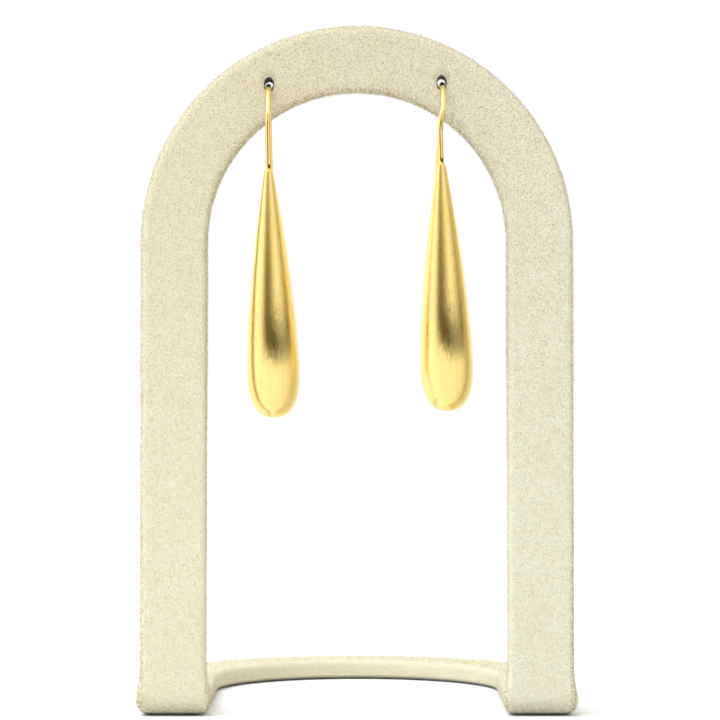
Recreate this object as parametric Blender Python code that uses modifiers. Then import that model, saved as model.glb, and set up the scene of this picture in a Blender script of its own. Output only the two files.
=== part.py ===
"""A pair of drop earrings on a suede-covered arch display stand.

Metres, +Z up. The upright arch faces -Y and the stand's second arch lies on the table behind it.
The origin is on the table, under the middle of the whole set.
"""

import math

import bmesh
import bpy
from mathutils import Euler, Vector

# The stand is one suede-covered strip: an upright arch, a bend at each foot and a lying arch behind.
STAND_WIDTH = 0.0650          # over the outside of the legs
STRIP_WIDTH = 0.0101          # face of the strip
STRIP_THICKNESS = 0.0032
STRIP_EDGE_RADIUS = 0.0010
SPRING_HEIGHT = 0.0713        # table to the centre of the upright arch
SPRING_DEPTH = 0.0370         # front face to the centre of the lying arch
LEG_SPLAY = 0.00025           # how far each leg spreads outwards down to its foot
FOOT_INSIDE_RADIUS = 0.0004   # inside of the bend at a foot
FOOT_BULGE = 0.0006           # how far the cover swells sideways at a foot
FOOT_BULGE_HEIGHT = 0.0021    # height of the widest place of a foot
FOOT_BULGE_TOP = 0.0070       # height where the swelling has gone
FOOT_BULGE_DEPTH = 0.0100     # distance behind the front face where it has gone
FOOT_SOLE_TAPER = 0.0002      # how much narrower each side of the sole is than the strip

# The ear wires and the holes that they hang in.
WIRE_DIAMETER = 0.00084
HOOK_RADIUS = 0.0050          # centre line of the turn over the strip
REAR_LEG_LENGTH = 0.0135
BEND_START = 0.0045           # length of wire from the top of the turn to its sideways bend
BEND_RUN = 0.0050             # length of the bend in front
LEG_LEAN = 0.100              # slope by which the front leg leans forwards
LEG_LEAN_START = 0.0069       # length of wire from the top of the turn to where it starts to lean
LEG_LEAN_RUN = 0.0015         # length over which the lean grows
LEG_SETTLE_RUN = 0.0014       # length above the drop's tip over which it goes again
HOLE_INSET = 0.00040          # inwards from the middle of the strip
HOLE_SIDE_CLEARANCE = 0.00020
HOLE_FOOT_CLEARANCE = 0.00010
HOLE_HEADROOM = 0.00070       # free height over the wire
HOLE_RIM = 0.00015            # chamfer round both ends of a hole

# The drops are turned, with a bore in the tip for the wire.
DROP_LENGTH = 0.03764
DROP_DIAMETER = 0.00805
DROP_WIDEST = 0.0301          # tip to the widest place
TIP_WALL = 0.00016
SOCKET_CLEARANCE = 0.00005
SOCKET_DEPTH = 0.0030
SHOULDER_POWER = 1.5          # shape of the long taper
END_POWER = 2.6               # shape of the round end, 2 being an ellipse

# Side, angle of its hole from the top of the arch in degrees, place of the wire across the hole,
# front leg of the wire from the turn to the drop's tip, sideways lean of the drop in degrees,
# how far the wire's turn and its rear end stand sideways of its front leg, and the rear bend.
EARRINGS = (
    {"side": "left", "hole_angle": -29.2, "aside": -0.00009, "front_leg": 0.00684, "lean": 1.06,
     "bend": 0.00012, "rear": -0.00004, "rear_run": 0.0050},
    {"side": "right", "hole_angle": 28.0, "aside": 0.00009, "front_leg": 0.00614, "lean": 1.84,
     "bend": 0.00061, "rear": -0.00055, "rear_run": 0.0168},
)

# Fineness of the curves.
ARCH_STEPS = 52
BEND_STEPS = 7
EDGE_STEPS = 3
HOOK_STEPS = 26
TURNED_STEPS = 32
TAPER_STEPS = 18
END_STEPS = 11
HOLE_STEPS = 24
BEVEL_RESOLUTION = 4
MERGE_DISTANCE = 0.000002

# What follows from the sizes.
ARCH_RADIUS = (STAND_WIDTH - STRIP_WIDTH) / 2
HALF_THICKNESS = STRIP_THICKNESS / 2
FOOT_RADIUS = FOOT_INSIDE_RADIUS + HALF_THICKNESS
WIRE_RADIUS = WIRE_DIAMETER / 2
HOOK_FALL = HOOK_RADIUS - math.sqrt(HOOK_RADIUS ** 2 - (HALF_THICKNESS - HOLE_RIM) ** 2)
HOLE_WIDTH = WIRE_DIAMETER + 2 * HOLE_SIDE_CLEARANCE
HOLE_HEIGHT = WIRE_DIAMETER + HOOK_FALL + HOLE_FOOT_CLEARANCE + HOLE_HEADROOM
SOCKET_RADIUS = WIRE_RADIUS + SOCKET_CLEARANCE
TIP_RADIUS = SOCKET_RADIUS + TIP_WALL
DROP_BALANCE = 0.6 * DROP_LENGTH   # tip to the centre of the drop's weight

SUEDE = ("suede", (0.66, 0.60, 0.44), 0.95, 0.0)
SATIN_GOLD = ("satin_gold", (0.86, 0.64, 0.26), 0.38, 1.0)
POLISHED_GOLD = ("polished_gold", (0.89, 0.66, 0.28), 0.14, 1.0)


def clear_scene():
    for existing in list(bpy.data.objects):
        bpy.data.objects.remove(existing, do_unlink=True)


def new_collection(name):
    collection = bpy.data.collections.new(name)
    bpy.context.scene.collection.children.link(collection)
    return collection


def make_material(name, colour, roughness, metallic):
    material = bpy.data.materials.new(name)
    material.use_nodes = True
    shader = material.node_tree.nodes["Principled BSDF"]
    shader.inputs["Base Color"].default_value = (*colour, 1.0)
    shader.inputs["Roughness"].default_value = roughness
    shader.inputs["Metallic"].default_value = metallic
    return material


def add_object(name, data, collection, parent=None, location=(0, 0, 0), rotation=None):
    thing = bpy.data.objects.new(name, data)
    collection.objects.link(thing)
    thing.parent = parent
    thing.location = location
    if rotation:
        thing.rotation_euler = rotation
    return thing


def poly_curve(name, points, cyclic=False):
    curve = bpy.data.curves.new(name, "CURVE")
    curve.dimensions = "3D"
    spline = curve.splines.new("POLY")
    spline.points.add(len(points) - 1)
    for place, point in zip(spline.points, points):
        place.co = (*point, 1.0)
    spline.use_cyclic_u = cyclic
    curve.render_resolution_u = 0
    return curve


def shade_round(mesh, sharp_degrees):
    mesh.shade_smooth()
    mesh.set_sharp_from_angle(angle=math.radians(sharp_degrees))


def smooth_step(share):
    share = min(max(share, 0.0), 1.0)
    return share * share * (3 - 2 * share)


def arc_points(centre, across, along, radius, start, end, steps):
    """Points of an arc, its angles in degrees measured from across towards along."""
    points = []
    for step in range(steps + 1):
        angle = math.radians(start + (end - start) * step / steps)
        points.append(centre + radius * (math.cos(angle) * across + math.sin(angle) * along))
    return points


def strip_route():
    """Middle of the strip: up the left leg, over, down the right one, and round the lying arch."""
    right = Vector((1, 0, 0))
    back = Vector((0, 1, 0))
    up = Vector((0, 0, 1))
    bend_z = HALF_THICKNESS + FOOT_RADIUS
    leg_heights = [bend_z + (FOOT_BULGE_TOP - bend_z) * share for share in (0.35, 0.7, 1.1)]
    rear_y = SPRING_DEPTH - HALF_THICKNESS
    base_depths = [FOOT_BULGE_DEPTH * share for share in (0.3, 0.5, 0.7, 1.0)]

    left_leg = [Vector((-ARCH_RADIUS, 0, z)) for z in leg_heights]
    over = arc_points(SPRING_HEIGHT * up, right, up, ARCH_RADIUS, 180, 0, ARCH_STEPS)
    right_leg = [Vector((ARCH_RADIUS, 0, z)) for z in reversed(leg_heights)]
    foot_centre = ARCH_RADIUS * right + FOOT_RADIUS * back + bend_z * up
    right_foot = arc_points(foot_centre, back, up, FOOT_RADIUS, 180, 270, BEND_STEPS)
    right_base = [Vector((ARCH_RADIUS, y, HALF_THICKNESS)) for y in base_depths]
    behind_centre = rear_y * back + HALF_THICKNESS * up
    behind = arc_points(behind_centre, right, back, ARCH_RADIUS, 0, 180, ARCH_STEPS)
    left_base = [Vector((-ARCH_RADIUS, y, HALF_THICKNESS)) for y in reversed(base_depths)]
    foot_centre = foot_centre - 2 * ARCH_RADIUS * right
    left_foot = arc_points(foot_centre, back, up, FOOT_RADIUS, 270, 180, BEND_STEPS)
    return left_leg + over + right_leg + right_foot + right_base + behind + left_base + left_foot


def strip_section():
    """Outline across the strip, a rectangle with round corners."""
    radius = min(STRIP_EDGE_RADIUS, 0.45 * STRIP_THICKNESS)
    across = Vector((1, 0, 0))
    through = Vector((0, 1, 0))
    inset_x = STRIP_WIDTH / 2 - radius
    inset_y = HALF_THICKNESS - radius
    points = []
    for quarter, (side_x, side_y) in enumerate(((1, 1), (-1, 1), (-1, -1), (1, -1))):
        centre = Vector((side_x * inset_x, side_y * inset_y, 0))
        start = 90 * quarter
        points += arc_points(centre, across, through, radius, start, start + 90, EDGE_STEPS)
    return points


def shape_legs(mesh):
    """Spread the legs a little, widen each foot low down, and draw it in again at the sole."""
    full = 1 + 2 * FOOT_BULGE / STRIP_WIDTH
    sole = 1 - 2 * FOOT_SOLE_TAPER / STRIP_WIDTH
    for vertex in mesh.vertices:
        x, y, z = vertex.co
        if z < FOOT_BULGE_HEIGHT:
            rise = math.sin(math.pi / 2 * z / FOOT_BULGE_HEIGHT)
            width = sole + (full - sole) * rise
        else:
            fade = (z - FOOT_BULGE_HEIGHT) / (FOOT_BULGE_TOP - FOOT_BULGE_HEIGHT)
            width = full + (1 - full) * smooth_step(fade)
        width += (1 - width) * smooth_step((y + HALF_THICKNESS) / FOOT_BULGE_DEPTH)
        middle = math.copysign(ARCH_RADIUS, x)
        splay_up = 1 - min(max(z / SPRING_HEIGHT, 0.0), 1.0)
        splay_back = 1 - min(max(y / (SPRING_DEPTH - HALF_THICKNESS), 0.0), 1.0)
        splay = math.copysign(LEG_SPLAY * splay_up * splay_back, x)
        vertex.co.x = middle + (x - middle) * width + splay


def hole_place(angle):
    """Middle of a hanging hole, a little inside the middle of the strip."""
    turn = math.radians(angle)
    radius = ARCH_RADIUS - HOLE_INSET
    return Vector((radius * math.sin(turn), 0, SPRING_HEIGHT + radius * math.cos(turn)))


def turned_profile(name, profile):
    """Edges of a half outline in the XZ plane, for a Screw modifier to turn round Z."""
    mesh = bpy.data.meshes.new(name)
    shape = bmesh.new()
    corners = [shape.verts.new((radius, 0, height)) for radius, height in profile]
    for upper, lower in zip(corners, corners[1:]):
        shape.edges.new((upper, lower))
    shape.to_mesh(mesh)
    shape.free()
    return mesh


def add_screw(thing, steps):
    screw = thing.modifiers.new("turned", "SCREW")
    screw.steps = steps
    screw.render_steps = steps
    screw.use_merge_vertices = True
    screw.merge_threshold = MERGE_DISTANCE
    screw.use_smooth_shade = True


def make_hole_cutter(side, angle, parent, collection):
    """A spool, oval across, that is wider at its ends by the rim's chamfer."""
    bore = HOLE_WIDTH / 2
    rim = bore + 2 * HOLE_RIM
    reach = HALF_THICKNESS + HOLE_RIM
    waist = HALF_THICKNESS - HOLE_RIM
    profile = ((0, reach), (rim, reach), (bore, waist), (bore, -waist), (rim, -reach), (0, -reach))
    mesh = turned_profile("hole_" + side, profile)
    cutter = add_object("hole_" + side, mesh, collection, parent, hole_place(angle),
                        Euler((math.radians(90), 0, 0)))
    cutter.scale = (1, HOLE_HEIGHT / HOLE_WIDTH, 1)
    add_screw(cutter, HOLE_STEPS)
    cutter.hide_render = True
    cutter.display_type = "WIRE"
    return cutter


def make_stand(parent, parts, cutters, material):
    section = add_object("strip_section", poly_curve("strip_section", strip_section(), True), parts)
    route = poly_curve("strip_route", strip_route(), True)
    route.bevel_mode = "OBJECT"
    route.bevel_object = section
    guide = add_object("strip_route", route, parts)
    graph = bpy.context.evaluated_depsgraph_get()
    mesh = bpy.data.meshes.new_from_object(guide.evaluated_get(graph))
    mesh.name = "display_stand"
    for done in (guide, section):
        bpy.data.objects.remove(done, do_unlink=True)

    shape = bmesh.new()
    shape.from_mesh(mesh)
    bmesh.ops.remove_doubles(shape, verts=shape.verts, dist=MERGE_DISTANCE)
    bmesh.ops.recalc_face_normals(shape, faces=shape.faces)
    shape.to_mesh(mesh)
    shape.free()
    shape_legs(mesh)
    shade_round(mesh, 60)
    mesh.materials.clear()
    mesh.materials.append(material)

    stand = add_object("display_stand", mesh, parts, parent)
    for earring in EARRINGS:
        hole = stand.modifiers.new("hanging hole " + earring["side"], "BOOLEAN")
        hole.operation = "DIFFERENCE"
        hole.solver = "EXACT"
        hole.object = make_hole_cutter(earring["side"], earring["hole_angle"], parent, cutters)


def eased(run, width):
    """Run that sets in gently over a width."""
    if run < 0:
        return 0.0
    return run * run / (2 * width) if run < width else run - width / 2


def leg_reach(run, front_leg):
    """How far the front leg has leaned forwards after a run of wire from the top of the turn."""
    tip = HOOK_RADIUS * math.pi / 2 + front_leg
    leaned = eased(run - LEG_LEAN_START, LEG_LEAN_RUN)
    return LEG_LEAN * (leaned - eased(run - tip + LEG_SETTLE_RUN, LEG_SETTLE_RUN))


def drop_reach(front_leg):
    """Distance of the drop's tip in front of the middle of the turn."""
    return HOOK_RADIUS + leg_reach(HOOK_RADIUS * math.pi / 2 + front_leg, front_leg)


def hang_tilt(front_leg):
    """Angle that brings the weight of the drop under the middle of the strip."""
    return math.atan2(drop_reach(front_leg), front_leg + DROP_BALANCE)


def hook_centre(earring, turn):
    """Centre of the wire's turn, so that the wire lies low in the middle of its hole."""
    hole = hole_place(earring["hole_angle"])
    apex_z = hole.z - HOLE_HEIGHT / 2 + HOLE_FOOT_CLEARANCE + WIRE_RADIUS + HOOK_FALL
    side_shift = turn.to_matrix() @ Vector((earring["bend"], 0, 0))
    lean_shift = HOOK_RADIUS * math.sin(math.radians(earring["lean"]))
    apex_x = hole.x + earring["aside"]
    return Vector((apex_x - side_shift.x + lean_shift, 0, apex_z - HOOK_RADIUS))


def wire_route(earring):
    """Points of one ear wire, from its rear end over the turn and down into the drop's tip."""
    back = Vector((0, 1, 0))
    up = Vector((0, 0, 1))
    socket_end = earring["front_leg"] + SOCKET_DEPTH - SOCKET_CLEARANCE
    points = []
    for share in (1.0, 0.6, 0.35, 0.2, 0.1):
        points.append(HOOK_RADIUS * back - share * REAR_LEG_LENGTH * up)
    points += arc_points(Vector(), back, up, HOOK_RADIUS, 0, 180, HOOK_STEPS)
    for share in (0.06, 0.12, 0.25, 0.4, 0.6, 0.8, 0.85, 0.9, 0.95, 1.0):
        points.append(-HOOK_RADIUS * back - share * earring["front_leg"] * up)
    points.append(-HOOK_RADIUS * back - socket_end * up)

    quarter_turn = HOOK_RADIUS * math.pi / 2
    for point in points:
        if point.z > 0:
            run = HOOK_RADIUS * math.atan2(abs(point.y), point.z)
        else:
            run = quarter_turn - point.z
        behind = point.y > 0
        settled = smooth_step((run - BEND_START) / (earring["rear_run"] if behind else BEND_RUN))
        leg_x = earring["rear"] if behind else 0.0
        point.x = earring["bend"] * (1 - settled) + leg_x * settled
        if not behind:
            point.y -= leg_reach(run, earring["front_leg"])
    return points


def drop_profile():
    """Half outline of a drop: socket floor, socket wall, tip, long taper and round end."""
    wide = DROP_DIAMETER / 2
    profile = [(0, -SOCKET_DEPTH), (SOCKET_RADIUS, -SOCKET_DEPTH), (SOCKET_RADIUS, 0)]
    for step in range(TAPER_STEPS + 1):
        share = step / TAPER_STEPS
        radius = TIP_RADIUS + (wide - TIP_RADIUS) * (1 - (1 - share) ** SHOULDER_POWER)
        profile.append((radius, -DROP_WIDEST * share))
    for step in range(1, END_STEPS):
        angle = math.pi / 2 * step / END_STEPS
        radius = wide * math.cos(angle) ** (2 / END_POWER)
        depth = (DROP_LENGTH - DROP_WIDEST) * math.sin(angle) ** (2 / END_POWER)
        profile.append((radius, -DROP_WIDEST - depth))
    profile.append((0, -DROP_LENGTH))
    return profile


def make_earring(earring, parent, parts, wire_material, drop_material):
    side = earring["side"]
    tilt = hang_tilt(earring["front_leg"])
    turn = Euler((tilt, -math.radians(earring["lean"]), 0))
    hanger = add_object("hanger_" + side, None, parts, parent, hook_centre(earring, turn), turn)

    route = poly_curve("ear_wire_" + side, wire_route(earring))
    route.bevel_depth = WIRE_RADIUS
    route.bevel_resolution = BEVEL_RESOLUTION
    route.use_fill_caps = True
    route.materials.append(wire_material)
    add_object("ear_wire_" + side, route, parts, hanger)

    mesh = turned_profile("drop_" + side, drop_profile())
    mesh.materials.append(drop_material)
    tip = (0, -drop_reach(earring["front_leg"]), -earring["front_leg"])
    drop = add_object("drop_" + side, mesh, parts, hanger, tip)
    add_screw(drop, TURNED_STEPS)


def main():
    clear_scene()
    parts = new_collection("earrings_on_stand")
    cutters = new_collection("cutters")
    suede = make_material(*SUEDE)
    satin_gold = make_material(*SATIN_GOLD)
    polished_gold = make_material(*POLISHED_GOLD)

    front_reach = HOOK_RADIUS + WIRE_RADIUS
    rear_reach = SPRING_DEPTH - HALF_THICKNESS + STAND_WIDTH / 2
    middle = (0, (front_reach - rear_reach) / 2, 0)
    upright = add_object("upright_arch", None, parts, None, middle)
    make_stand(upright, parts, cutters, suede)
    for earring in EARRINGS:
        make_earring(earring, upright, parts, polished_gold, satin_gold)


main()
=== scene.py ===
"""Looks of a pair of gold teardrop earrings that hang on a suede-covered arch stand."""

import math

import bmesh
import bpy
from mathutils import Euler, Matrix, Vector


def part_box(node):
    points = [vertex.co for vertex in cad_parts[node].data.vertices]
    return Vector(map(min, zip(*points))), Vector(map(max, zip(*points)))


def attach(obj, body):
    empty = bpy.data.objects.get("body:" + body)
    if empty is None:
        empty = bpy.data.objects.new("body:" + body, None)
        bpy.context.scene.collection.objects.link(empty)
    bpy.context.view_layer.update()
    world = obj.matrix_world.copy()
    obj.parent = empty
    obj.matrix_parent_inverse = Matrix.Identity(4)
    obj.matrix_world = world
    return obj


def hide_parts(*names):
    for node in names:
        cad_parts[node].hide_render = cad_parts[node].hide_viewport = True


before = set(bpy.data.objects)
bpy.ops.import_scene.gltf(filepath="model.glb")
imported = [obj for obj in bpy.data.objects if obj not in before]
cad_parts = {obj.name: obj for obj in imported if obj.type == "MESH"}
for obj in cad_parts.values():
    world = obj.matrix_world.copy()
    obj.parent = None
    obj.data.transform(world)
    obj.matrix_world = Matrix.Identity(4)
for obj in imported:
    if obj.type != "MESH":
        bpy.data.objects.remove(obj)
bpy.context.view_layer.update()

stand_low, stand_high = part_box("display_stand")

# Sizes of the stand's suede cover, in metres.
STAND_WIDTH = 0.0650
STRIP_WIDTH = 0.0101
STRIP_THICKNESS = 0.0032
EDGE_RADIUS = 0.0010
LEG_SPLAY = 0.00025
FOOT_INSIDE_RADIUS = 0.0004
FOOT_BULGE = 0.0006
FOOT_BULGE_HEIGHT = 0.0021
FOOT_BULGE_TOP = 0.0070
FOOT_BULGE_DEPTH = 0.0100
FOOT_SOLE_TAPER = 0.0002
SOLE_HEIGHT = 0.0006          # the cover settles on the table below this height
COVER_SPACING = 0.00040       # distance between the rings of the cover's mesh
MERGE_DISTANCE = COVER_SPACING / 20
EDGE_SEGMENTS = 5             # facets round each long edge
MOST_CUTS = 90                # cuts made in one run at a time

# Unevenness of the cover: name, size and height, and how deep it all lies under the smooth surface.
COVER_UNEVENNESS = (("slack", 0.0040, 0.00006), ("tufts", 0.0008, 0.00009))
UNEVEN_MIDDLE = 1.2

# Shade under the upright arch, as shares of half the strip's width and of the arch's radius.
UNDER_FROM = 0.60
UNDER_RUN = 0.38
OVERHEAD_RUN = 0.8

SIDES = ("left", "right")

# Hanging holes, as angles from the top of the arch in degrees, and the wires' places across them.
HOLE_ANGLES = {"left": -29.2, "right": 28.0}
WIRES_ASIDE = {"left": -0.00009, "right": 0.00009}
HOLE_INSET = 0.00040
HOLE_WIDTH = 0.00124
HOLE_HEIGHT = 0.00187
HOLE_RIM = 0.00015
HOLE_FOOT_CLEARANCE = 0.00010
HOLE_CLOSING = 0.36           # how much narrower the soft lower end of a hole is than its middle
HOLE_SAGS = {"left": 0.78, "right": 0.90}
HOLE_SIDES = 40

# Ear wires and drops.
WIRE_RADIUS = 0.00042
HOOK_RADIUS = 0.0050
REAR_LEG_LENGTH = 0.0135
BEND_START = 0.0045
BEND_RUN = 0.0050
LEG_LEAN = 0.100
LEG_LEAN_START = 0.0069
LEG_LEAN_RUN = 0.0015
LEG_SETTLE_RUN = 0.0014
DROP_LENGTH = 0.03764
DROP_RADIUS = 0.004025
DROP_WIDEST = 0.0301
TIP_RADIUS = 0.00063
SOCKET_RADIUS = 0.00047
SOCKET_DEPTH = 0.0030
SOCKET_TOP = 0.00006          # below the tip, where the socket's wall ends at the rounded lip
SHOULDER_POWER = 1.5
END_POWER = 2.6
DROP_BALANCE = 0.6            # share of the drop's length from its tip to its centre of weight
DROP_MERGE_DISTANCE = 0.000004
FRONT_LEGS = {"left": 0.00684, "right": 0.00614}
LEANS = {"left": 1.06, "right": 1.84}
WIRE_BENDS = {"left": 0.00012, "right": 0.00061}
REAR_SHIFTS = {"left": -0.00004, "right": -0.00055}
REAR_RUNS = {"left": 0.0050, "right": 0.0168}

# Fineness of the wires and drops.
REAR_STEPS = 12
HOOK_STEPS = 40
FRONT_STEPS = 40
SOCKET_GAP = 0.00005
DROP_SIDES = 96
LIP_STEPS = 6
TAPER_STEPS = 44
END_STEPS = 26

# Nap of the suede.
FIBRE_RADIUS = 0.000028
FIBRE_LENGTH = 0.00024
FIBRE_TILT = 0.9
NAP_DENSITY = 16e6            # fibres on a square metre
BASE_NAP_DENSITY = 9e6
NAP_SPLIT_HEIGHT = 0.056
NAP_REACH = 1.0               # further out than any part of the cover

# Colours, in linear light.
SUEDE_LIGHT = (0.690, 0.680, 0.535)
SUEDE_DARK = (0.51, 0.48, 0.32)
# Dark brown: painted shade along the upright part's long edges and under the upright arch; also the darker
# patches low on the feet and the darker fibres.
SUEDE_EDGE = (0.30, 0.23, 0.12)
SUEDE_SHADE = (0.40, 0.30, 0.17)
SUEDE_SPECK = (0.17, 0.12, 0.06)
# Yellower, darker tint: painted shade on the left half of the stand.
SUEDE_LEFT_SHADE = (0.67, 0.645, 0.36)
# Darker colour of the base: painted shade, laid over the strip behind the feet's bend.
SUEDE_BASE_SHADE = (0.65, 0.62, 0.46)
# Darker, yellower colour: painted shade on the base's sides, below its top face.
SUEDE_SIDE_SHADE = (0.58, 0.52, 0.32)
FIBRE_LIGHT = (0.78, 0.77, 0.66)
CONTACT_SHADE = (0.08, 0.08, 0.08)
# Dark grey round the holes: painted shade in the rims, and the faint smudges above them.
HOLE_RIM_SHADE_AND_SMUDGE = (0.045, 0.042, 0.040)
GOLD = (0.95, 0.72, 0.28)
GOLD_STREAK = (0.72, 0.52, 0.16)
TABLE_WHITE = (0.80, 0.80, 0.80)

# Clouds of other colours in the suede: fineness, noise from and to, full share and colour.
SUEDE_CLOUDS = ((160, 0.45, 0.75, 0.20, (0.55, 0.50, 0.31)),
                (900, 0.52, 0.76, 0.28, (0.52, 0.41, 0.26)),
                (1500, 0.52, 0.78, 0.22, (0.46, 0.47, 0.38)))

# Fineness of the suede's noises, and how much of each mark shows between which heights or places.
GRAIN_FINENESS = 6500
SPECK_FINENESS = 5200
PATCH_FINENESS = 3000
SPECK_SHARES = (0.12, 0.75)
LEFT_SHADE_RUN = (-0.02, 0.02)
LEFT_SHADE_SHARE = 0.20
BASE_SHADE_RUN = 0.012
BASE_SHADE_SHARE = 0.70
SIDE_SHADE_RUN = (0.0022, 0.0040)
SIDE_SHADE_SHARE = 0.60
PATCH_SHARE = 0.70
STANDING_RUN = 0.002
EDGE_SHADE_RUN = (0.88, 0.97)
SHADED_SHARE = 0.20
SHADED_SIDE_RUN = (0.004, 0.026)
SHADED_RIGHT_SHARE = 0.45
LOW_FOOT_RUN = (0.0006, 0.0024)
LOW_FOOT_SHARE = 0.85
CONTACT_RUN = (0.0002, 0.0007)
CONTACT_SHARE = 0.95

# Gold: finenesses across and along, roughness from and to, and strength of the brushing.
SHADE_FINENESS = (5500, 5500, 200)
BRUSH_FINENESS = (11000, 11000, 110)
BRUSH_DEPTH = 0.0001
DULL_PER_BRUSHING = 2.7
WIRE_FINISH = ((0.06, 0.10), 0.03)
DROP_FINISH = ((0.07, 0.12), 0.19)

# Marks round the holes: height over the hole, full inside, gone outside and full share. The first is a dark
# rim, painted shade inside the hole and the wire's shadow on its edge; the second a faint smudge above, left
# by wires.
HOLE_SHADES_AND_SMUDGES = ((0.0, 0.00070, 0.00084, 0.92), (0.0005, 0.0007, 0.0016, 0.22))

# Studio light: shares of full brightness at angles round the horizon, 0 being the camera's side
# and the angles growing to the right. HIGH is for the lamps' ceiling, UPPER for the walls, SIDE for
# their lower part, GAP for the dark gap over the table's front edge and TABLE for the table itself.
WORLD_STRENGTH = 1.4
LAMP_POWER = 4
LAMP_PLACE = (-0.35, -0.35, 0.9)
LAMP_SIZE = 0.7
HIGH_LIGHT = ((-180, 0.90), (-110, 1.00), (-72, 1.40), (-50, 2.00), (-20, 1.70), (0, 1.00), (30, 0.80),
              (90, 0.75), (180, 0.90))
UPPER_LIGHT = ((-180, 0.85), (-145, 0.92), (-100, 1.05), (-60, 1.05), (-46, 0.66), (-34, 0.44), (-14, 0.44),
               (8, 0.64), (32, 0.82), (58, 0.66), (74, 0.46), (86, 0.34), (98, 0.45), (114, 0.70),
               (140, 0.80), (180, 0.85))
SIDE_LIGHT = ((-180, 0.85), (-145, 0.95), (-100, 1.05), (-64, 1.00), (-50, 0.78), (-36, 0.34), (-26, 0.16),
              (-14, 0.18), (2, 0.38), (16, 0.66), (34, 0.90), (56, 0.70), (70, 0.44), (82, 0.14), (94, 0.24),
              (112, 0.62), (140, 0.80), (180, 0.85))
GAP_LIGHT = ((-180, 0.85), (-100, 1.00), (-64, 0.95), (-50, 0.70), (-38, 0.16), (-28, 0.10),
             (-6, 0.09), (14, 0.0), (96, 0.0), (110, 0.20), (124, 0.60), (140, 0.80), (180, 0.85))
TABLE_LIGHT = ((-180, 0.85), (-80, 1.02), (-20, 0.92), (40, 0.88), (66, 0.76), (90, 0.62), (110, 0.58),
               (140, 0.72), (180, 0.85))
HIGH_FOOT = (0.22, 0.45)
UPPER_FOOT = (-0.125, 0.015)
GAP_TOP = (-0.205, -0.185)
TABLE_TOP = (-0.296, -0.276)
LEVEL_FALL = 3.2              # how the levels sink towards both sides, so that the drops mirror them level
LEVEL_LEAST = 0.15
WARMTH = (1.0, 1.08, 1.35)
SEEN_WHITE = (0.72, 0.72, 0.72, 1)


# Camera: its distance to the stand's front face, its height and its sideways place.
CAMERA_DISTANCE = 0.510
CAMERA_HEIGHT = 0.0548
CAMERA_SIDE = 0.00046
CAMERA_DIP = 0.135            # degrees below level
CAMERA_LENS = 170

# Where the parts of the stand lie.
STRIP_HALF = STRIP_THICKNESS / 2
ARCH_RADIUS = (STAND_WIDTH - STRIP_WIDTH) / 2
FOOT_RADIUS = FOOT_INSIDE_RADIUS + STRIP_HALF
MIDDLE_Y = stand_low.y + STRIP_HALF
SPRING_Z = stand_high.z - STAND_WIDTH / 2
SPRING_Y = stand_high.y - STAND_WIDTH / 2
BEND_Z = STRIP_HALF + FOOT_RADIUS
BEND_Y = MIDDLE_Y + FOOT_RADIUS
NAP_SPLIT_Y = BEND_Y + 0.002


def make_camera():
    place = Vector((CAMERA_SIDE, stand_low.y - CAMERA_DISTANCE, CAMERA_HEIGHT))
    turn = Euler((math.radians(90 - CAMERA_DIP), 0, 0))
    bpy.ops.object.camera_add(location=place, rotation=turn)
    camera = bpy.context.object
    camera.data.lens = CAMERA_LENS
    camera.data.sensor_width = 36
    camera.data.clip_start = 0.01
    camera.data.clip_end = 10
    bpy.context.scene.camera = camera


def select_only(thing):
    bpy.ops.object.select_all(action="DESELECT")
    thing.select_set(True)
    bpy.context.view_layer.objects.active = thing


def finish_mesh(thing, name, smooth_angle=40):
    """Name a piece, put its place in its mesh and shade it."""
    thing.name = name
    thing.data.name = name
    select_only(thing)
    bpy.ops.object.transform_apply(location=True, rotation=True, scale=True)
    bpy.ops.object.shade_smooth_by_angle(angle=math.radians(smooth_angle))


def apply_modifier(thing, modifier):
    select_only(thing)
    bpy.ops.object.modifier_apply(modifier=modifier.name)


def smooth_step(share):
    share = min(max(share, 0.0), 1.0)
    return share * share * (3 - 2 * share)


def edit_selection(thing):
    """Edit mesh of the piece that is in edit mode."""
    return bmesh.from_edit_mesh(thing.data)


def pick_ring(thing, place, direction):
    """Select only the points that lie in the plane through place, near it."""
    shape = edit_selection(thing)
    for vertex in shape.verts:
        apart = vertex.co - place
        near = apart.length < STRIP_WIDTH
        vertex.select_set(near and abs(apart.dot(direction)) < MERGE_DISTANCE)
    shape.select_flush(True)
    bmesh.update_edit_mesh(thing.data)


def extrude_run(thing, start, travel):
    """Extrude the open ring along travel, and divide the new run into even rings."""
    parts = math.ceil(travel.length / (MOST_CUTS * COVER_SPACING))
    step = travel / parts
    direction = step.normalized()
    for part in range(parts):
        bpy.ops.mesh.extrude_region_move(TRANSFORM_OT_translate={"value": step})
        shape = edit_selection(thing)
        ring = {vertex for vertex in shape.verts if vertex.select}
        run = [edge for edge in shape.edges if len(ring.intersection(edge.verts)) == 1]
        bpy.ops.mesh.select_all(action="DESELECT")
        for edge in run:
            edge.select_set(True)
        bmesh.update_edit_mesh(thing.data)
        bpy.ops.mesh.subdivide(number_cuts=round(step.length / COVER_SPACING) - 1)
        bpy.ops.mesh.select_all(action="DESELECT")
        pick_ring(thing, start + step * (part + 1), direction)


def spin_run(angle, centre, axis, radius):
    """Turn the open ring round axis, counter-clockwise seen against it, in steps of the spacing."""
    steps = round(abs(angle) * radius / COVER_SPACING)
    bpy.ops.mesh.spin(steps=steps, angle=-angle, center=centre, axis=axis)


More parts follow.
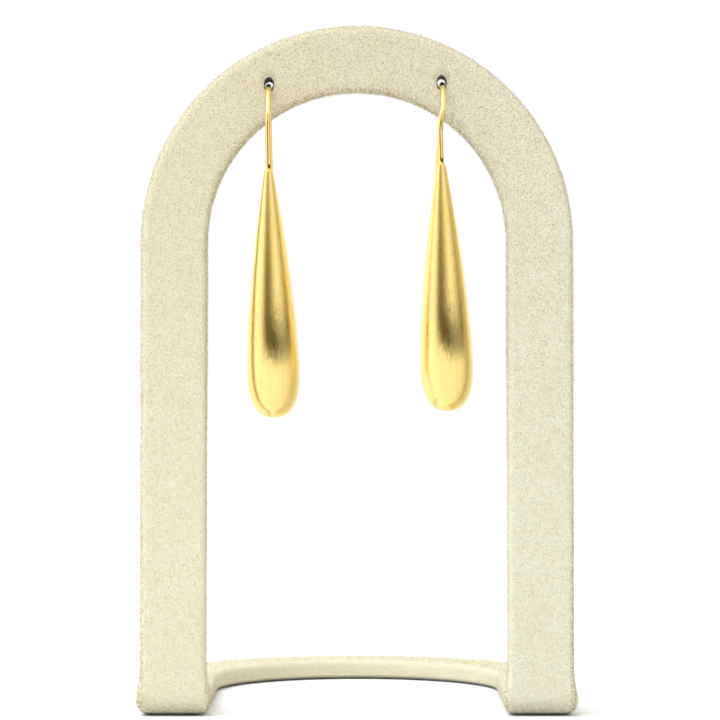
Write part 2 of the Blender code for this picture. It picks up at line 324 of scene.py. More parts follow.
def shape_legs(mesh):
    """Spread the legs a little, widen each foot low down, and draw it in again at the sole."""
    full = 1 + 2 * FOOT_BULGE / STRIP_WIDTH
    sole = 1 - 2 * FOOT_SOLE_TAPER / STRIP_WIDTH
    for vertex in mesh.vertices:
        x, y, z = vertex.co
        if z < FOOT_BULGE_HEIGHT:
            rise = math.sin(math.pi / 2 * max(z, 0) / FOOT_BULGE_HEIGHT)
            width = sole + (full - sole) * rise
        else:
            fade = (z - FOOT_BULGE_HEIGHT) / (FOOT_BULGE_TOP - FOOT_BULGE_HEIGHT)
            width = full + (1 - full) * smooth_step(fade)
        width += (1 - width) * smooth_step((y - MIDDLE_Y + STRIP_HALF) / FOOT_BULGE_DEPTH)
        middle = math.copysign(ARCH_RADIUS, x)
        splay_up = 1 - min(max(z / SPRING_Z, 0.0), 1.0)
        splay_back = 1 - min(max((y - MIDDLE_Y) / (SPRING_Y - MIDDLE_Y), 0.0), 1.0)
        splay = math.copysign(LEG_SPLAY * splay_up * splay_back, x)
        vertex.co.x = middle + (x - middle) * width + splay


def settle_order(thing):
    """Number points, edges and faces by their places, so that each run gives the same mesh."""
    shape = bmesh.new()
    shape.from_mesh(thing.data)
    by_place = sorted(shape.verts, key=lambda vertex: [round(part, digits) for digits in (5, 7)
                                                       for part in vertex.co])
    for number, vertex in enumerate(by_place):
        vertex.index = number
    shape.verts.sort()
    by_ends = sorted(shape.edges, key=lambda edge: sorted(vertex.index for vertex in edge.verts))
    for number, edge in enumerate(by_ends):
        edge.index = number
    shape.edges.sort()
    rounds = []
    for face in shape.faces:
        corners = list(face.verts)
        first = corners.index(min(corners, key=lambda vertex: vertex.index))
        rounds.append(corners[first:] + corners[:first])
    rounds.sort(key=lambda corners: [vertex.index for vertex in corners])
    bmesh.ops.delete(shape, geom=shape.faces[:], context="FACES_ONLY")
    for corners in rounds:
        shape.faces.new(corners).smooth = True
    shape.to_mesh(thing.data)
    shape.free()


def hole_place(side):
    turn = math.radians(HOLE_ANGLES[side])
    radius = ARCH_RADIUS - HOLE_INSET
    return Vector((radius * math.sin(turn), MIDDLE_Y, SPRING_Z + radius * math.cos(turn)))


def cut_hole(cover, side):
    """Cut one hanging hole: wider at both faces, close to the wire below, its roof sagging behind."""
    place = hole_place(side)
    place.y -= STRIP_HALF + HOLE_RIM
    bpy.ops.mesh.primitive_circle_add(vertices=HOLE_SIDES, radius=HOLE_WIDTH / 2 + HOLE_RIM, fill_type="NGON",
                                      location=place, rotation=(math.pi / 2, 0, 0))
    cutter = bpy.context.object
    cutter.scale = (1, HOLE_HEIGHT / HOLE_WIDTH, 1)
    finish_mesh(cutter, "hole_cutter")
    for vertex in cutter.data.vertices:
        low = min(max((place.z - vertex.co.z) / (HOLE_HEIGHT / 2), 0.0), 1.0)
        aside = (vertex.co.x - place.x) * (1 - HOLE_CLOSING * low) + WIRES_ASIDE[side] * low
        vertex.co.x = place.x + aside
    waist = 1 - HOLE_RIM / (HOLE_WIDTH / 2 + HOLE_RIM)
    foot = place - Vector((0, 0, HOLE_HEIGHT / 2))
    bpy.ops.object.mode_set(mode="EDIT")
    bpy.ops.mesh.select_all(action="SELECT")
    for depth, wide, high, middle in ((2 * HOLE_RIM, waist, waist, place),
                                      (STRIP_THICKNESS - 2 * HOLE_RIM, 1, HOLE_SAGS[side], foot),
                                      (2 * HOLE_RIM, 1 / waist, 1, place)):
        bpy.ops.mesh.extrude_region_move(TRANSFORM_OT_translate={"value": (0, depth, 0)})
        bpy.ops.transform.resize(value=(wide, 1, high), center_override=middle)
    bpy.ops.mesh.select_all(action="SELECT")
    bpy.ops.mesh.normals_make_consistent(inside=False)
    bpy.ops.object.mode_set(mode="OBJECT")
    settle_order(cutter)
    hole = cover.modifiers.new("hanging hole", "BOOLEAN")
    hole.operation = "DIFFERENCE"
    hole.solver = "EXACT"
    hole.object = cutter
    apply_modifier(cover, hole)
    settle_order(cover)
    bpy.data.objects.remove(cutter, do_unlink=True)


def roughen(cover):
    """Give the cover the fine unevenness of napped leather, inside the nap's own thickness."""
    for name, size, height in COVER_UNEVENNESS:
        clouds = bpy.data.textures.new(name, "CLOUDS")
        clouds.noise_scale = size
        clouds.noise_depth = 2
        uneven = cover.modifiers.new(name, "DISPLACE")
        uneven.texture = clouds
        uneven.texture_coords = "LOCAL"
        uneven.mid_level = UNEVEN_MIDDLE
        uneven.strength = height
        apply_modifier(cover, uneven)
    sole = min(vertex.co.z for vertex in cover.data.vertices)
    for vertex in cover.data.vertices:
        drop = 1 - smooth_step(vertex.co.z / SOLE_HEIGHT)
        vertex.co.z = max(vertex.co.z - sole * drop, 0.0)


def mark_edges(cover):
    """Store how near each point is to a long edge of the strip, and how far under the upright arch."""
    near = cover.data.attributes.new("edge", "FLOAT", "POINT")
    below = cover.data.attributes.new("under", "FLOAT", "POINT")
    for vertex, mark, shaded in zip(cover.data.vertices, near.data, below.data):
        x, y, z = vertex.co
        across = abs(x)
        if z > SPRING_Z:
            across = math.hypot(x, z - SPRING_Z)
        elif y > SPRING_Y:
            across = math.hypot(x, y - SPRING_Y)
        inward = (ARCH_RADIUS - across) / (STRIP_WIDTH / 2)
        mark.value = min(abs(inward), 1.0)
        overhead = smooth_step((z - SPRING_Z) / (OVERHEAD_RUN * ARCH_RADIUS))
        shaded.value = smooth_step((inward - UNDER_FROM) / UNDER_RUN) * overhead


def make_cover():
    """The covered strip, swept round both arches and both feet as one closed tube."""
    bpy.ops.mesh.primitive_plane_add(size=1, location=(-ARCH_RADIUS, MIDDLE_Y, SPRING_Z))
    cover = bpy.context.object
    cover.scale = (STRIP_WIDTH, STRIP_THICKNESS, 1)
    finish_mesh(cover, "suede_cover")
    bpy.ops.object.mode_set(mode="EDIT")
    bpy.ops.mesh.select_mode(type="VERT")
    bpy.ops.mesh.select_all(action="SELECT")
    bpy.ops.mesh.bevel(offset=EDGE_RADIUS, segments=EDGE_SEGMENTS, affect="VERTICES")
    bpy.ops.mesh.delete(type="ONLY_FACE")
    shape = edit_selection(cover)
    wide = [edge for edge in shape.edges if edge.calc_length() > 0.5 * STRIP_WIDTH]
    cuts = round((STRIP_WIDTH - 2 * EDGE_RADIUS) / COVER_SPACING)
    bmesh.ops.subdivide_edges(shape, edges=wide, cuts=cuts)
    thick = [edge for edge in shape.edges if edge.calc_length() > 2 * COVER_SPACING]
    bmesh.ops.subdivide_edges(shape, edges=thick, cuts=2)
    bmesh.update_edit_mesh(cover.data)
    bpy.ops.mesh.select_all(action="SELECT")

    outer = STAND_WIDTH / 2
    left_top = Vector((-ARCH_RADIUS, MIDDLE_Y, SPRING_Z))
    left_bend = Vector((-ARCH_RADIUS, MIDDLE_Y, BEND_Z))
    left_base = Vector((-ARCH_RADIUS, BEND_Y, STRIP_HALF))
    left_rear = Vector((-ARCH_RADIUS, SPRING_Y, STRIP_HALF))
    right_top, right_bend, right_base, right_rear = (
        place * Vector((-1, 1, 1)) for place in (left_top, left_bend, left_base, left_rear))
    spin_run(math.pi, (0, MIDDLE_Y, SPRING_Z), (0, 1, 0), outer)
    extrude_run(cover, right_top, right_bend - right_top)
    spin_run(math.pi / 2, (0, BEND_Y, BEND_Z), (1, 0, 0), STRIP_THICKNESS)
    extrude_run(cover, right_base, right_rear - right_base)
    spin_run(math.pi, (0, SPRING_Y, STRIP_HALF), (0, 0, 1), outer)
    extrude_run(cover, left_rear, left_base - left_rear)
    spin_run(-math.pi / 2, (0, BEND_Y, BEND_Z), (1, 0, 0), STRIP_THICKNESS)
    extrude_run(cover, left_bend, left_top - left_bend)
    bpy.ops.mesh.select_all(action="SELECT")
    bpy.ops.mesh.remove_doubles(threshold=MERGE_DISTANCE)
    bpy.ops.mesh.normals_make_consistent(inside=False)
    bpy.ops.object.mode_set(mode="OBJECT")
    shape_legs(cover.data)
    settle_order(cover)
    for side in SIDES:
        cut_hole(cover, side)
    roughen(cover)
    mark_edges(cover)
    finish_mesh(cover, "suede_cover")
    return cover


def eased(run, width):
    """Run that sets in gently over a width."""
    if run < 0:
        return 0.0
    return run * run / (2 * width) if run < width else run - width / 2


def leg_reach(run, front_leg):
    """How far the front leg has leaned forwards after a run of wire from the top of the turn."""
    tip = HOOK_RADIUS * math.pi / 2 + front_leg
    leaned = eased(run - LEG_LEAN_START, LEG_LEAN_RUN)
    return LEG_LEAN * (leaned - eased(run - tip + LEG_SETTLE_RUN, LEG_SETTLE_RUN))


def drop_tip(side):
    """Place of the drop's tip from the middle of the wire's turn, before the earring is tilted."""
    leg = FRONT_LEGS[side]
    return Vector((0, -HOOK_RADIUS - leg_reach(HOOK_RADIUS * math.pi / 2 + leg, leg), -leg))


def hang_turn(side):
    """How one earring hangs: its weight under the strip, and its own sideways lean."""
    tip = drop_tip(side)
    tilt = math.atan2(-tip.y, DROP_BALANCE * DROP_LENGTH - tip.z)
    return Euler((tilt, -math.radians(LEANS[side]), 0))


def hang_matrix(side):
    """Place of the wire's turn over the strip, with the earring's own turn."""
    hole = hole_place(side)
    turn = hang_turn(side).to_matrix()
    fall = HOOK_RADIUS - math.sqrt(HOOK_RADIUS ** 2 - (STRIP_HALF - HOLE_RIM) ** 2)
    side_shift = turn @ Vector((WIRE_BENDS[side], 0, 0))
    lean_shift = HOOK_RADIUS * math.sin(math.radians(LEANS[side]))
    apex_z = hole.z - HOLE_HEIGHT / 2 + HOLE_FOOT_CLEARANCE + WIRE_RADIUS + fall
    apex_x = hole.x + WIRES_ASIDE[side]
    centre = Vector((apex_x - side_shift.x + lean_shift, MIDDLE_Y, apex_z - HOOK_RADIUS))
    return Matrix.Translation(centre) @ turn.to_4x4()


def wire_route(side):
    """Middle of one ear wire: up behind the strip, over, and down into the drop's tip."""
    points = []
    for step in range(REAR_STEPS + 1):
        points.append(Vector((0, HOOK_RADIUS, -REAR_LEG_LENGTH * (1 - step / REAR_STEPS))))
    for step in range(1, HOOK_STEPS + 1):
        angle = math.pi * step / HOOK_STEPS
        points.append(HOOK_RADIUS * Vector((0, math.cos(angle), math.sin(angle))))
    front = FRONT_LEGS[side] + SOCKET_DEPTH - SOCKET_GAP
    for step in range(1, FRONT_STEPS + 1):
        points.append(Vector((0, -HOOK_RADIUS, -front * step / FRONT_STEPS)))
    quarter_turn = HOOK_RADIUS * math.pi / 2
    for point in points:
        if point.z > 0:
            run = HOOK_RADIUS * math.atan2(abs(point.y), point.z)
        else:
            run = quarter_turn - point.z
        behind = point.y > 0
        settled = smooth_step((run - BEND_START) / (REAR_RUNS[side] if behind else BEND_RUN))
        leg_x = REAR_SHIFTS[side] if behind else 0.0
        point.x = WIRE_BENDS[side] * (1 - settled) + leg_x * settled
        if not behind:
            point.y -= leg_reach(run, FRONT_LEGS[side])
    return points


def make_wire(side):
    """One polished ear wire, with its rear end rounded off."""
    bpy.ops.curve.primitive_nurbs_path_add()
    wire = bpy.context.object
    route = wire.data
    route.splines.clear()
    spline = route.splines.new("POLY")
    points = wire_route(side)
    spline.points.add(len(points) - 1)
    for place, point in zip(spline.points, points):
        place.co = (*point, 1)
    route.bevel_depth = WIRE_RADIUS
    route.bevel_resolution = 6
    route.use_fill_caps = True
    select_only(wire)
    bpy.ops.object.convert(target="MESH")
    wire = bpy.context.object
    bpy.ops.object.mode_set(mode="EDIT")
    bpy.ops.mesh.select_all(action="SELECT")
    bpy.ops.mesh.remove_doubles(threshold=WIRE_RADIUS / 200)
    bpy.ops.mesh.normals_make_consistent(inside=False)
    bpy.ops.mesh.select_mode(type="FACE")
    bpy.ops.mesh.select_all(action="DESELECT")
    shape = edit_selection(wire)
    for face in shape.faces:
        face.select_set(len(face.verts) > 4)
    bmesh.update_edit_mesh(wire.data)
    bpy.ops.mesh.bevel(offset=0.6 * WIRE_RADIUS, segments=4, affect="EDGES")
    bpy.ops.object.mode_set(mode="OBJECT")
    wire.matrix_world = hang_matrix(side)
    finish_mesh(wire, "polished_ear_wire_" + side, 60)
    return wire


def drop_outline():
    """Radius and depth below the tip: socket floor and wall, rounded lip, taper and round end."""
    stations = [(SOCKET_RADIUS, SOCKET_DEPTH), (SOCKET_RADIUS, SOCKET_TOP)]
    lip = (TIP_RADIUS - SOCKET_RADIUS) / 2
    for step in range(LIP_STEPS + 1):
        angle = math.pi * step / LIP_STEPS
        stations.append((SOCKET_RADIUS + lip - lip * math.cos(angle), lip - lip * math.sin(angle)))
    for step in range(1, TAPER_STEPS + 1):
        share = step / TAPER_STEPS
        radius = TIP_RADIUS + (DROP_RADIUS - TIP_RADIUS) * (1 - (1 - share) ** SHOULDER_POWER)
        stations.append((radius, DROP_WIDEST * share))
    for step in range(1, END_STEPS):
        angle = math.pi / 2 * step / END_STEPS
        radius = DROP_RADIUS * math.cos(angle) ** (2 / END_POWER)
        depth = (DROP_LENGTH - DROP_WIDEST) * math.sin(angle) ** (2 / END_POWER)
        stations.append((radius, DROP_WIDEST + depth))
    stations.append((0.0, DROP_LENGTH))
    return stations


def make_drop(side):
    """One satin drop, drawn out ring by ring from the floor of its socket."""
    (radius, depth), *stations = drop_outline()
    bpy.ops.mesh.primitive_circle_add(vertices=DROP_SIDES, radius=radius, fill_type="NGON",
                                      location=(0, 0, -depth))
    drop = bpy.context.object
    finish_mesh(drop, "satin_drop_" + side)
    bpy.ops.object.mode_set(mode="EDIT")
    bpy.ops.mesh.select_all(action="SELECT")
    for next_radius, next_depth in stations:
        travel = (0, 0, depth - next_depth)
        scale = next_radius / radius
        bpy.ops.mesh.extrude_region_move(TRANSFORM_OT_translate={"value": travel})
        bpy.ops.transform.resize(value=(scale, scale, 1), center_override=(0, 0, -next_depth))
        radius, depth = next_radius, next_depth
    bpy.ops.mesh.select_all(action="SELECT")
    bpy.ops.mesh.remove_doubles(threshold=DROP_MERGE_DISTANCE)
    bpy.ops.mesh.normals_make_consistent(inside=False)
    bpy.ops.object.mode_set(mode="OBJECT")
    drop.matrix_world = hang_matrix(side) @ Matrix.Translation(drop_tip(side))
    settle_order(drop)
    finish_mesh(drop, "satin_drop_" + side, 50)
    return drop


def new_material(name, colour, roughness, metallic):
    material = bpy.data.materials.new(name)
    material.use_nodes = True
    shader = material.node_tree.nodes["Principled BSDF"]
    shader.inputs["Base Color"].default_value = (*colour, 1)
    shader.inputs["Roughness"].default_value = roughness
    shader.inputs["Metallic"].default_value = metallic
    return material, material.node_tree, shader


def add_node(tree, kind, values=(), **settings):
    """A node with its settings and the default values of its named or numbered inputs."""
    node = tree.nodes.new(kind)
    for setting, value in settings.items():
        setattr(node, setting, value)
    for name, value in dict(values).items():
        node.inputs[name].default_value = value
    return node


def join(tree, *pairs):
    for source, target in pairs:
        tree.links.new(source, target)


def put_on(piece, material):
    piece.data.materials.clear()
    piece.data.materials.append(material)


def sweep_world():
    """A soft white studio: bright walls, a dim gap at the camera and a white table below."""
    world = bpy.data.worlds.new("soft_studio")
    bpy.context.scene.world = world
    world.use_nodes = True
    tree = world.node_tree
    background = tree.nodes["Background"]
    place = add_node(tree, "ShaderNodeTexCoord")
    parts = add_node(tree, "ShaderNodeSeparateXYZ")
    ahead = add_node(tree, "ShaderNodeMath", {0: -1.0}, operation="MULTIPLY")
    around = add_node(tree, "ShaderNodeMath", operation="ARCTAN2")
    turn = add_node(tree, "ShaderNodeMapRange", {1: -math.pi, 2: math.pi, 3: 0.0, 4: 1.0})
    half = add_node(tree, "ShaderNodeMath", {1: 0.5}, operation="MULTIPLY")
    facing = add_node(tree, "ShaderNodeMath", operation="COSINE")
    fall = add_node(tree, "ShaderNodeMath", {1: LEVEL_FALL}, operation="POWER")
    kept = add_node(tree, "ShaderNodeMath", {1: LEVEL_LEAST}, operation="MAXIMUM")
    level = add_node(tree, "ShaderNodeMath", operation="DIVIDE")
    high = ring_ramp(tree, HIGH_LIGHT)
    upper = ring_ramp(tree, UPPER_LIGHT)
    sides = ring_ramp(tree, SIDE_LIGHT)
    table = ring_ramp(tree, TABLE_LIGHT)
    gap = ring_ramp(tree, GAP_LIGHT)
    join(tree, (place.outputs["Generated"], parts.inputs[0]), (parts.outputs["Y"], ahead.inputs[1]),
         (parts.outputs["X"], around.inputs[0]), (ahead.outputs[0], around.inputs[1]),
         (around.outputs[0], turn.inputs[0]), (around.outputs[0], half.inputs[0]),
         (half.outputs[0], facing.inputs[0]), (facing.outputs[0], fall.inputs[0]),
         (fall.outputs[0], kept.inputs[0]), (parts.outputs["Z"], level.inputs[0]),
         (kept.outputs[0], level.inputs[1]))
    for ramp in (high, upper, sides, table, gap):
        join(tree, (turn.outputs[0], ramp.inputs[0]))
    light = high.outputs[0]
    for over, (foot, top) in ((upper.outputs[0], HIGH_FOOT), (sides.outputs[0], UPPER_FOOT),
                              (gap.outputs[0], GAP_TOP), (table.outputs[0], TABLE_TOP)):
        share = add_node(tree, "ShaderNodeMapRange", {1: foot, 2: top, 3: 0.0, 4: 1.0},
                         interpolation_type="SMOOTHSTEP")
        mix = add_node(tree, "ShaderNodeMix", data_type="RGBA")
        join(tree, (level.outputs[0], share.inputs[0]), (share.outputs[0], mix.inputs[0]),
             (over, mix.inputs[6]), (light, mix.inputs[7]))
        light = mix.outputs[2]
    path = add_node(tree, "ShaderNodeLightPath")
    seen = add_node(tree, "ShaderNodeMix", {7: SEEN_WHITE}, data_type="RGBA")
    join(tree, (path.outputs["Is Camera Ray"], seen.inputs[0]), (light, seen.inputs[6]),
         (seen.outputs[2], background.inputs[0]))
    background.inputs["Strength"].default_value = WORLD_STRENGTH


def ring_ramp(tree, stops):
    """Light round the horizon, warmer where it is dim, from stops of an angle and a share."""
    ramp = add_node(tree, "ShaderNodeValToRGB")
    ramp.color_ramp.interpolation = "EASE"
    elements = ramp.color_ramp.elements
    while len(elements) > 1:
        elements.remove(elements[-1])
    for number, (angle, share) in enumerate(stops):
        element = elements[0] if number == 0 else elements.new((angle + 180) / 360)
        element.position = (angle + 180) / 360
        element.color = (*(share ** power for power in WARMTH), 1)
    return ramp


def make_floor():
    bpy.ops.mesh.primitive_plane_add(size=12, location=(0, 0, -0.00002))
    floor = bpy.context.object
    finish_mesh(floor, "white_table")
    material, tree, shader = new_material("white_paper", TABLE_WHITE, 0.9, 0.0)
    shader.inputs["Specular IOR Level"].default_value = 0.1
    put_on(floor, material)
    floor.visible_glossy = False


def make_lamp():
    bpy.ops.object.light_add(type="AREA", location=LAMP_PLACE)
    lamp = bpy.context.object
    lamp.data.shape = "DISK"
    lamp.data.size = LAMP_SIZE
    lamp.data.energy = LAMP_POWER
    lamp.rotation_euler = (-lamp.location).to_track_quat("-Z", "Y").to_euler()
    lamp.visible_camera = False
    lamp.visible_glossy = False


def new_group(name, outputs):
    """A shader node group and its end node, with these named outputs."""
    group = bpy.data.node_groups.new(name, "ShaderNodeTree")
    for label, kind in outputs:
        group.interface.new_socket(label, in_out="OUTPUT", socket_type=kind)
    return group, group.nodes.new("NodeGroupOutput")


def blend(tree, base, over, share):
    """Mix node that lays the colour over on base, its share being a socket or a number."""
    mix = add_node(tree, "ShaderNodeMix", data_type="RGBA")
    if isinstance(over, tuple):
        mix.inputs[7].default_value = (*over, 1)
    else:
        join(tree, (over, mix.inputs[7]))
    if isinstance(base, tuple):
        mix.inputs[6].default_value = (*base, 1)
    else:
        join(tree, (base, mix.inputs[6]))
    join(tree, (share, mix.inputs[0]))
    return mix.outputs[2]


def noise_share(tree, place, scale, detail, low, high, full):
    """Share from 0 to full where a noise of this fineness rises from low to high."""
    noise = add_node(tree, "ShaderNodeTexNoise", {"Scale": scale, "Detail": detail})
    share = add_node(tree, "ShaderNodeMapRange", {1: low, 2: high, 3: 0.0, 4: full})
    join(tree, (place, noise.inputs["Vector"]), (noise.outputs[0], share.inputs[0]))
    return share.outputs[0]


def ramp_share(tree, value, low, high, first, last):
    """Share that goes from first to last while a value goes from low to high."""
    ramp = add_node(tree, "ShaderNodeMapRange", {1: low, 2: high, 3: first, 4: last})
    join(tree, (value, ramp.inputs[0]))
    return ramp.outputs[0]


def times(tree, one, other):
    product = add_node(tree, "ShaderNodeMath", operation="MULTIPLY")
    join(tree, (one, product.inputs[0]), (other, product.inputs[1]))
    return product.outputs[0]


def suede_colour_group():
    """Colour of the suede in place, with painted shade on parts of it, and its grain's height."""
    group, end = new_group("suede_colour", (("Color", "NodeSocketColor"),
                                            ("Height", "NodeSocketFloat")))
    place = add_node(group, "ShaderNodeTexCoord").outputs["Object"]
    edge = add_node(group, "ShaderNodeAttribute", attribute_name="edge")
    under = add_node(group, "ShaderNodeAttribute", attribute_name="under")
    parts = add_node(group, "ShaderNodeSeparateXYZ")
    grain = add_node(group, "ShaderNodeTexNoise", {"Scale": GRAIN_FINENESS, "Detail": 2,
                     "Roughness": 0.8})
    join(group, (place, parts.inputs[0]), (place, grain.inputs["Vector"]))
    height = parts.outputs["Z"]
    depth = parts.outputs["Y"]
    side = parts.outputs["X"]

    tone = add_node(group, "ShaderNodeMapRange", {1: 0.34, 2: 0.62, 3: 0.0, 4: 1.0})
    join(group, (grain.outputs[0], tone.inputs[0]))
    colour = blend(group, SUEDE_DARK, SUEDE_LIGHT, tone.outputs[0])
    for scale, low, high, full, over in SUEDE_CLOUDS:
        colour = blend(group, colour, over, noise_share(group, place, scale, 2, low, high, full))

    specks = noise_share(group, place, SPECK_FINENESS, 2, 0.56, 0.66, 1.0)
    more_above = ramp_share(group, height, 0.3 * SPRING_Z, stand_high.z, *SPECK_SHARES)
    colour = blend(group, colour, SUEDE_SPECK, times(group, specks, more_above))
    # Painted shade: the left half yellower and darker, fading out across the middle.
    left_shade = ramp_share(group, side, *LEFT_SHADE_RUN, LEFT_SHADE_SHARE, 0.0)
    colour = blend(group, colour, SUEDE_LEFT_SHADE, left_shade)
    # Painted shade: the base darker than the upright part, from the feet's bend backwards.
    base_shade = ramp_share(group, depth, BEND_Y, BEND_Y + BASE_SHADE_RUN, 0.0, BASE_SHADE_SHARE)
    colour = blend(group, colour, SUEDE_BASE_SHADE, base_shade)
    # Painted shade: the sides of the base, below the height of its top face, darker than the top.
    side_shade = ramp_share(group, height, *SIDE_SHADE_RUN, SIDE_SHADE_SHARE, 0.0)
    colour = blend(group, colour, SUEDE_SIDE_SHADE, times(group, base_shade, side_shade))

    patchy = noise_share(group, place, PATCH_FINENESS, 3, 0.42, 0.62, PATCH_SHARE)
    # Painted shade: patchy dark brown along the rounded long edges of the upright part.
    edge_shade = ramp_share(group, edge.outputs["Fac"], *EDGE_SHADE_RUN, 0.0, 1.0)
    standing = ramp_share(group, depth, BEND_Y, BEND_Y + STANDING_RUN, 1.0, 0.0)
    colour = blend(group, colour, SUEDE_EDGE, times(group, times(group, patchy, edge_shade), standing))
    colour = blend(group, colour, SUEDE_EDGE, times(group, patchy, under.outputs["Fac"]))
    shaded = ramp_share(group, height, 0.4 * SPRING_Z, stand_high.z, 0.0, SHADED_SHARE)
    left_more = ramp_share(group, side, *SHADED_SIDE_RUN, 1.0, SHADED_RIGHT_SHARE)
    colour = blend(group, colour, SUEDE_SHADE, times(group, shaded, left_more))
    # Darker in patches low on the feet, fading out by the top of their bend.
    low_foot_patches = ramp_share(group, height, *LOW_FOOT_RUN, LOW_FOOT_SHARE, 0.0)
    colour = blend(group, colour, SUEDE_EDGE, times(group, times(group, patchy, low_foot_patches), standing))
    touching = ramp_share(group, height, *CONTACT_RUN, CONTACT_SHARE, 0.0)
    colour = blend(group, colour, CONTACT_SHADE, touching)
    colour = hole_shade_and_smudges(group, place, colour)
    join(group, (colour, end.inputs["Color"]), (grain.outputs[0], end.inputs["Height"]))
    return group


def hole_shade_and_smudges(group, place, colour):
    """Dark rim round both hanging holes, painted shade inside them and the wires' shadows on their edges, and
    a faint smudge above each, left by wires.
    """
    flat = add_node(group, "ShaderNodeVectorMath", {1: (1, 0, HOLE_WIDTH / HOLE_HEIGHT)},
                    operation="MULTIPLY")
    join(group, (place, flat.inputs[0]))
    for side in SIDES:
        hole = hole_place(side)
        for rise, inner, outer, full in HOLE_SHADES_AND_SMUDGES:
            middle = (hole.x, 0, (hole.z + rise) * HOLE_WIDTH / HOLE_HEIGHT)
            apart = add_node(group, "ShaderNodeVectorMath", {1: middle}, operation="DISTANCE")
            # Painted shade in and round the hole for the rim; a faint smudge left by wires above it for the
            # second mark.
            shade_rim_and_smudge = add_node(group, "ShaderNodeMapRange", {1: inner, 2: outer, 3: full, 4: 0.0},
                            interpolation_type="SMOOTHSTEP")
            join(group, (flat.outputs[0], apart.inputs[0]), (apart.outputs["Value"], shade_rim_and_smudge.inputs[0]))
            colour = blend(group, colour, HOLE_RIM_SHADE_AND_SMUDGE, shade_rim_and_smudge.outputs[0])
    return colour


def suede_material(name, group, fibre):
    material, tree, shader = new_material(name, SUEDE_LIGHT, 0.95, 0.0)
    shader.inputs["Specular IOR Level"].default_value = 0.12
    shader.inputs["Sheen Weight"].default_value = 0.15
    shader.inputs["Sheen Roughness"].default_value = 0.5
    look = add_node(tree, "ShaderNodeGroup", node_tree=group)
    colour = look.outputs["Color"]
    if fibre:
        tone = add_node(tree, "ShaderNodeAttribute", attribute_name="tone")
        dark = add_node(tree, "ShaderNodeMapRange", {1: 0.0, 2: 0.5, 3: 0.45, 4: 0.0})
        light = add_node(tree, "ShaderNodeMapRange", {1: 0.6, 2: 1.0, 3: 0.0, 4: 0.5})
        join(tree, (tone.outputs["Fac"], dark.inputs[0]), (tone.outputs["Fac"], light.inputs[0]))
        colour = blend(tree, colour, SUEDE_EDGE, dark.outputs[0])
        colour = blend(tree, colour, FIBRE_LIGHT, light.outputs[0])
    else:
        bump = add_node(tree, "ShaderNodeBump", {"Strength": 0.7, "Distance": 0.00006})
        join(tree, (look.outputs["Height"], bump.inputs["Height"]),
             (bump.outputs[0], shader.inputs["Normal"]))
    join(tree, (colour, shader.inputs["Base Color"]))
    return material


def gold_material(name, side, roughness, brushing):
    """Yellow gold with fine lines along the drop or wire, laid in its own direction."""
    material, tree, shader = new_material(name, GOLD, roughness[0], 1.0)
    place = add_node(tree, "ShaderNodeTexCoord")
    own = add_node(tree, "ShaderNodeMapping", vector_type="TEXTURE")
    own.inputs["Location"].default_value = hang_matrix(side).translation
    own.inputs["Rotation"].default_value = hang_turn(side)
    join(tree, (place.outputs["Object"], own.inputs["Vector"]))
    shades = streaks(tree, own.outputs[0], SHADE_FINENESS)
    brushed = streaks(tree, own.outputs[0], BRUSH_FINENESS)
    bump = add_node(tree, "ShaderNodeBump", {"Strength": brushing, "Distance": BRUSH_DEPTH})
    join(tree, (ramp_share(tree, shades, 0.3, 0.7, *roughness), shader.inputs["Roughness"]),
         (brushed, bump.inputs["Height"]), (bump.outputs[0], shader.inputs["Normal"]))
    dull = ramp_share(tree, shades, 0.48, 0.72, 0.0, DULL_PER_BRUSHING * brushing)
    join(tree, (blend(tree, GOLD, GOLD_STREAK, dull), shader.inputs["Base Color"]))
    return material


def streaks(tree, place, fineness):
    """Noise that is drawn out along the piece."""
    stretch = add_node(tree, "ShaderNodeVectorMath", {1: fineness}, operation="MULTIPLY")
    lines = add_node(tree, "ShaderNodeTexNoise", {"Scale": 1, "Detail": 3, "Roughness": 0.6})
    join(tree, (place, stretch.inputs[0]), (stretch.outputs[0], lines.inputs["Vector"]))
    return lines.outputs[0]


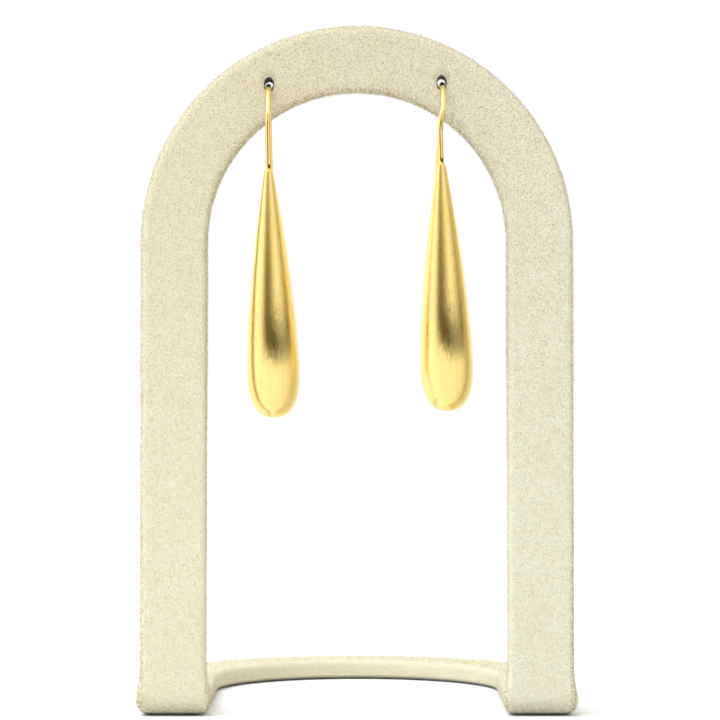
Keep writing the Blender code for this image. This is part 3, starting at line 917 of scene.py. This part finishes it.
def nap_group(seed, low, high, density):
    """Geometry nodes that stand short leather fibres on the faces inside a box."""
    group = bpy.data.node_groups.new("nap_fibres", "GeometryNodeTree")
    group.interface.new_socket("Geometry", in_out="INPUT", socket_type="NodeSocketGeometry")
    group.interface.new_socket("Geometry", in_out="OUTPUT", socket_type="NodeSocketGeometry")
    start = group.nodes.new("NodeGroupInput")
    end = group.nodes.new("NodeGroupOutput")
    scatter = add_node(group, "GeometryNodeDistributePointsOnFaces", {"Density": density, "Seed": seed})
    place = add_node(group, "GeometryNodeInputPosition")
    parts = add_node(group, "ShaderNodeSeparateXYZ")
    join(group, (place.outputs[0], parts.inputs[0]))
    inside = None
    for axis, bottom, top in zip("YZ", low, high):
        above = add_node(group, "FunctionNodeCompare", {1: bottom}, operation="GREATER_THAN")
        below = add_node(group, "FunctionNodeCompare", {1: top}, operation="LESS_EQUAL")
        both = add_node(group, "FunctionNodeBooleanMath", operation="AND")
        join(group, (parts.outputs[axis], above.inputs[0]), (parts.outputs[axis], below.inputs[0]),
             (above.outputs[0], both.inputs[0]), (below.outputs[0], both.inputs[1]))
        if inside:
            every = add_node(group, "FunctionNodeBooleanMath", operation="AND")
            join(group, (inside, every.inputs[0]), (both.outputs[0], every.inputs[1]))
            inside = every.outputs[0]
        else:
            inside = both.outputs[0]
    fibre = add_node(group, "GeometryNodeMeshCone", {"Vertices": 3, "Radius Top": 0.0,
                     "Radius Bottom": FIBRE_RADIUS, "Depth": FIBRE_LENGTH})
    tilt = add_node(group, "FunctionNodeRandomValue", {0: (-FIBRE_TILT,) * 3, 1: (FIBRE_TILT,) * 3,
                    "Seed": seed + 1}, data_type="FLOAT_VECTOR")
    turn = add_node(group, "FunctionNodeRotateRotation", rotation_space="LOCAL")
    size = add_node(group, "FunctionNodeRandomValue", {2: 0.5, 3: 1.5, "Seed": seed + 2},
                    data_type="FLOAT")
    stand = add_node(group, "GeometryNodeInstanceOnPoints")
    tone = add_node(group, "FunctionNodeRandomValue", {2: 0.0, 3: 1.0, "Seed": seed + 3},
                    data_type="FLOAT")
    keep = add_node(group, "GeometryNodeStoreNamedAttribute", {"Name": "tone"}, data_type="FLOAT",
                    domain="INSTANCE")
    real = add_node(group, "GeometryNodeRealizeInstances")
    join(group, (start.outputs[0], scatter.inputs["Mesh"]), (inside, scatter.inputs["Selection"]),
         (scatter.outputs["Points"], stand.inputs["Points"]),
         (fibre.outputs["Mesh"], stand.inputs["Instance"]),
         (scatter.outputs["Rotation"], turn.inputs[0]), (tilt.outputs[0], turn.inputs[1]),
         (turn.outputs[0], stand.inputs["Rotation"]), (size.outputs[1], stand.inputs["Scale"]),
         (stand.outputs[0], keep.inputs["Geometry"]), (tone.outputs[1], keep.inputs["Value"]),
         (keep.outputs[0], real.inputs[0]), (real.outputs[0], end.inputs[0]))
    return group


def make_nap(cover, name, seed, low, high, density):
    """Short fibres that stand on part of the cover."""
    nap = cover.copy()
    nap.data = cover.data.copy()
    bpy.context.collection.objects.link(nap)
    fibres = nap.modifiers.new("fibres", "NODES")
    fibres.node_group = nap_group(seed, low, high, density)
    apply_modifier(nap, fibres)
    nap.name = name
    nap.data.name = name
    return nap


bpy.context.scene.view_settings.view_transform = "Standard"
make_camera()
sweep_world()
make_floor()
make_lamp()
suede_colour = suede_colour_group()
cover = make_cover()
put_on(cover, suede_material("suede", suede_colour, False))
nap_material = suede_material("suede_nap", suede_colour, True)
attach(cover, "root")
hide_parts("display_stand")
for number, (name, low, high, density) in enumerate((
        ("nap_of_arch", (-NAP_REACH, NAP_SPLIT_HEIGHT), (NAP_SPLIT_Y, NAP_REACH), NAP_DENSITY),
        ("nap_of_legs", (-NAP_REACH, SOLE_HEIGHT), (NAP_SPLIT_Y, NAP_SPLIT_HEIGHT), NAP_DENSITY),
        ("nap_of_base", (NAP_SPLIT_Y, SOLE_HEIGHT), (NAP_REACH, NAP_REACH), BASE_NAP_DENSITY))):
    nap = make_nap(cover, name, 10 * number + 1, low, high, density)
    put_on(nap, nap_material)
    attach(nap, "root")
    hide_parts("display_stand")

for side in SIDES:
    wire = make_wire(side)
    put_on(wire, gold_material("polished_gold_" + side, side, *WIRE_FINISH))
    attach(wire, "root")
    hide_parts("ear_wire_" + side)
    drop = make_drop(side)
    put_on(drop, gold_material("satin_gold_" + side, side, *DROP_FINISH))
    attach(drop, "root")
    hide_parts("drop_" + side)
